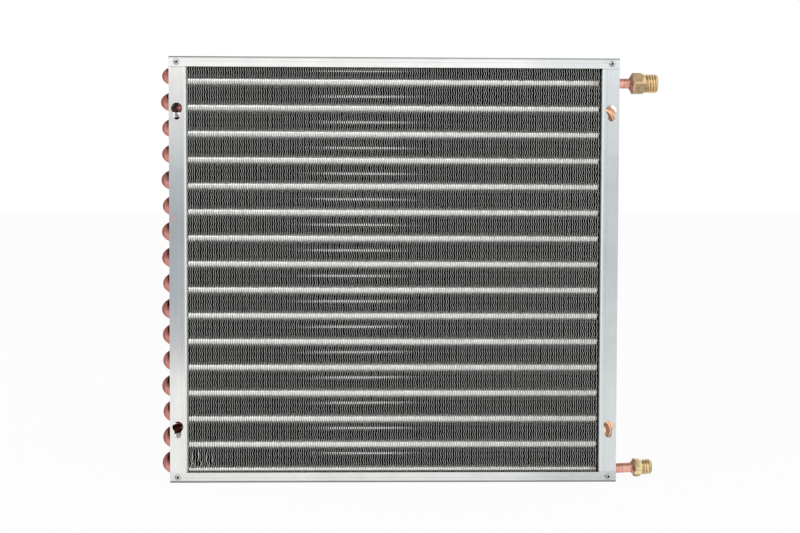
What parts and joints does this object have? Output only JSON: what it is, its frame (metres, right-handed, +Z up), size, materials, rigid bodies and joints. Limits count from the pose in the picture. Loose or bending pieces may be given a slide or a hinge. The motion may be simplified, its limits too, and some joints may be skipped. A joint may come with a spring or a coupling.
{
  "type": "air conditioning condenser coil",
  "caption": "Flat finned-tube condenser coil in a riveted sheet casing, copper return bends at one end and two threaded brass fittings at the other.",
  "frame": {"origin": "centre of the bottom channel's underside, which the coil stands on", "axes": "+Z up, +X along the tubes towards the two fittings, -Y the front face"},
  "size_m": [0.4866, 0.0524, 0.415],
  "materials": {
    "galvanised_sheet": "zinc-coated mild steel sheet, dull with faint brushing",
    "fin_aluminium": "mill aluminium foil fins",
    "copper": "bare copper tube, a little tarnished",
    "braze": "brazing filler, dull from heat",
    "brass": "machined brass",
    "rivet": "plain aluminium blind rivets"
  },
  "bodies": {
    "root": {"back_hairpin_1": "copper", "back_hairpin_2": "copper", "back_hairpin_3": "copper", "back_hairpin_4": "copper", "back_hairpin_5": "copper", "back_hairpin_6": "copper", "back_hairpin_7": "copper", "back_hairpin_8": "copper", "bottom_channel": "galvanised_sheet", "braze_rings": "braze", "corner_rivets": "rivet", "fins": "fin_aluminium", "front_hairpin_1": "copper", "front_hairpin_2": "copper", "front_hairpin_3": "copper", "front_hairpin_4": "copper", "front_hairpin_5": "copper", "front_hairpin_6": "copper", "front_hairpin_7": "copper", "inlet_fitting": "brass", "inlet_tube": "copper", "left_end_plate": "galvanised_sheet", "outlet_fitting": "brass", "outlet_tube": "copper", "return_bend_1": "copper", "return_bend_10": "copper", "return_bend_11": "copper", "return_bend_12": "copper", "return_bend_13": "copper", "return_bend_14": "copper", "return_bend_15": "copper", "return_bend_16": "copper", "return_bend_2": "copper", "return_bend_3": "copper", "return_bend_4": "copper", "return_bend_5": "copper", "return_bend_6": "copper", "return_bend_7": "copper", "return_bend_8": "copper", "return_bend_9": "copper", "right_end_plate": "galvanised_sheet", "top_channel": "galvanised_sheet"}
  },
  "joints": []
}
